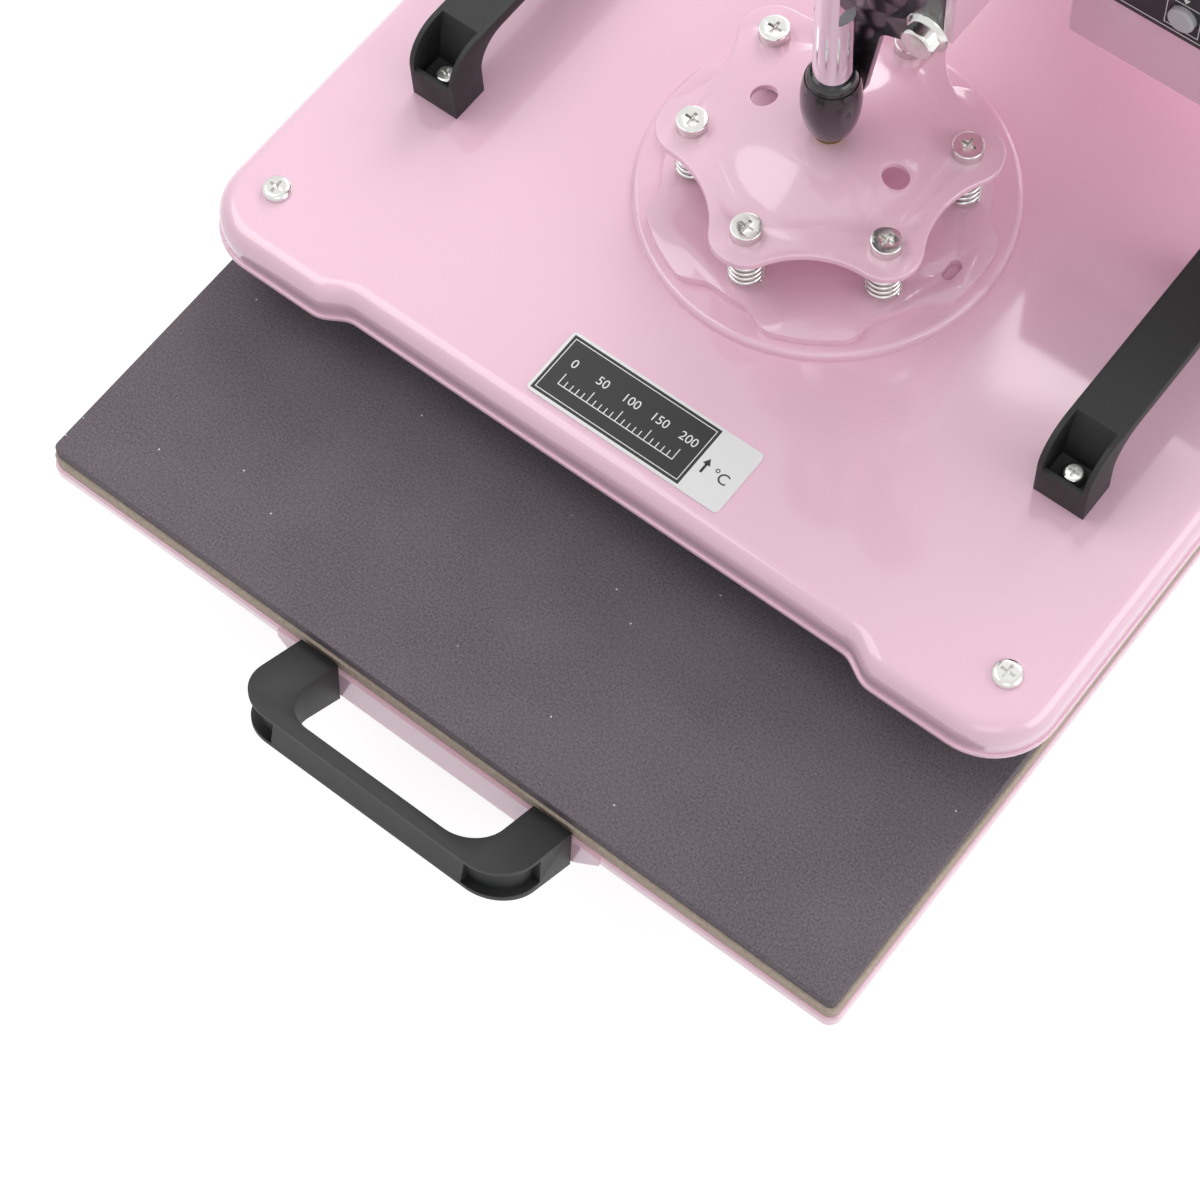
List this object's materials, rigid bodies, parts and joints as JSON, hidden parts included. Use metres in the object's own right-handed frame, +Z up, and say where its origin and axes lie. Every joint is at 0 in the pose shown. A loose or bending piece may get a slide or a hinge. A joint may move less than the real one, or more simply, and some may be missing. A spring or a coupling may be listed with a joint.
{
  "type": "heat press",
  "caption": "Swing-away heat press with a floating upper platen on a star plate, a lever arm with control box, and a drawer-mounted padded lower platen on a base frame.",
  "frame": {"origin": "on the bench, at the centre of the footprint below the axis of the press shaft", "axes": "+Z up, -Y towards the user at the drawer handle, +X to the user's right"},
  "size_m": [0.3902, 0.5865, 0.5441],
  "materials": {
    "pink_paint": "smooth satin powder coat",
    "black_paint": "smooth semi-gloss powder coat",
    "chrome_steel": "polished",
    "zinc_steel": "bright zinc plate",
    "black_zinc": "black zinc plate, semi-gloss",
    "plain_steel": "machined, oiled",
    "platen_aluminium": "smooth with a dark non-stick coat",
    "black_rubber": "matt moulded",
    "silicone": "sponge with a fine pale speckle",
    "beige_board": "pressed heat board",
    "black_plastic": "fine moulded grain",
    "panel_film": "satin printed film",
    "display_glass": "dark tinted",
    "button_plastic": "satin",
    "switch_plastic": "translucent red, glossy",
    "insulation": "ceramic fibre mat",
    "brass": "turned",
    "board_green": "lacquered circuit board",
    "bare_plate": "printed matt scale"
  },
  "bodies": {
    "base": {"base_frame": "pink_paint", "rubber_feet": "black_rubber", "column_post": "pink_paint", "column_bolts": "black_zinc", "pivot_shaft": "plain_steel", "thrust_washer": "brass", "hub_nut": "black_zinc", "slide_rails": "zinc_steel"},
    "drawer": {"drawer_tray": "pink_paint", "heat_board": "beige_board", "silicone_pad": "silicone", "drawer_runners": "black_plastic", "drawer_handle": "black_plastic", "drawer_screws": "zinc_steel"},
    "arm": {"arm_channel": "pink_paint", "arm_floor": "pink_paint", "swing_hub": "pink_paint", "front_plate": "black_paint", "flange_bolts": "zinc_steel", "guide_block": "black_paint", "guide_bush": "brass", "lever_bracket": "pink_paint", "pivot_carrier": "plain_steel", "control_box": "pink_paint", "box_mounts": "black_zinc", "box_back": "pink_paint", "control_panel": "panel_film", "display_window": "display_glass", "switch_frame": "black_plastic", "inlet_socket": "black_plastic", "circuit_board": "board_green"},
    "knob": {"pressure_knob": "black_plastic", "pressure_screw": "zinc_steel"},
    "lever": {"lever_shaft": "zinc_steel", "lever_crank": "plain_steel", "crank_pin": "plain_steel", "lever_frame": "pink_paint", "lever_grip": "black_rubber"},
    "ram": {"press_shaft": "chrome_steel", "shaft_boot": "black_rubber", "boot_washer": "brass", "shaft_yoke": "plain_steel", "star_plate": "pink_paint", "press_springs": "zinc_steel"},
    "platen": {"star_screws": "zinc_steel", "spring_plate": "pink_paint", "mounting_disc": "pink_paint", "top_cover": "pink_paint", "cover_screws": "zinc_steel", "insulation_mat": "insulation", "heater_plate": "platen_aluminium", "heating_element": "plain_steel", "thermostat": "plain_steel", "side_handles": "black_plastic", "handle_screws": "zinc_steel", "scale_plate": "bare_plate"},
    "down_button": {"down_button": "button_plastic"},
    "set_button": {"set_button": "button_plastic"},
    "up_button": {"up_button": "button_plastic"},
    "power_switch": {"power_switch": "switch_plastic"}
  },
  "joints": [
    {"name": "drawer_slide", "type": "slide", "parent": "base", "child": "drawer", "axis": [0, -1, 0], "range_m": [-0.1, 0.06]},
    {"name": "arm_swing", "type": "hinge", "parent": "base", "child": "arm", "pos_m": [0, 0.225, 0.27], "axis": [0, 0, 1], "range_deg": [-90, 90]},
    {"name": "ram_slide", "type": "slide", "parent": "arm", "child": "ram", "axis": [0, 0, -1], "range_m": [0, 0.0204]},
    {"name": "lever_hinge", "type": "hinge", "parent": "arm", "child": "lever", "pos_m": [0, 0.01903, 0.3239], "axis": [1, 0, 0], "range_deg": [0, 60]},
    {"name": "platen_float", "type": "slide", "parent": "ram", "child": "platen", "axis": [0, 0, 1], "range_m": [0, 0.006], "stiffness_N_per_m": 9000, "springref_m": -0.004, "deforming": ["press_springs"]},
    {"name": "knob_turn", "type": "hinge", "parent": "arm", "child": "knob", "pos_m": [0, 0.01903, 0.375], "axis": [0, 0, 1], "continuous": true},
    {"name": "down_press", "type": "slide", "parent": "arm", "child": "down_button", "axis": [0, 1, 0], "range_m": [0, 0.0015], "stiffness_N_per_m": 400},
    {"name": "set_press", "type": "slide", "parent": "arm", "child": "set_button", "axis": [0, 1, 0], "range_m": [0, 0.0015], "stiffness_N_per_m": 400},
    {"name": "up_press", "type": "slide", "parent": "arm", "child": "up_button", "axis": [0, 1, 0], "range_m": [0, 0.0015], "stiffness_N_per_m": 400},
    {"name": "switch_rock", "type": "hinge", "parent": "arm", "child": "power_switch", "pos_m": [0.1745, 0.1588, 0.2092], "axis": [0, 0, 1], "range_deg": [0, 15]}
  ],
  "couplings": [
    {"joint": "lever_hinge", "follows": "ram_slide", "rad_per_m": 51.33}
  ]
}
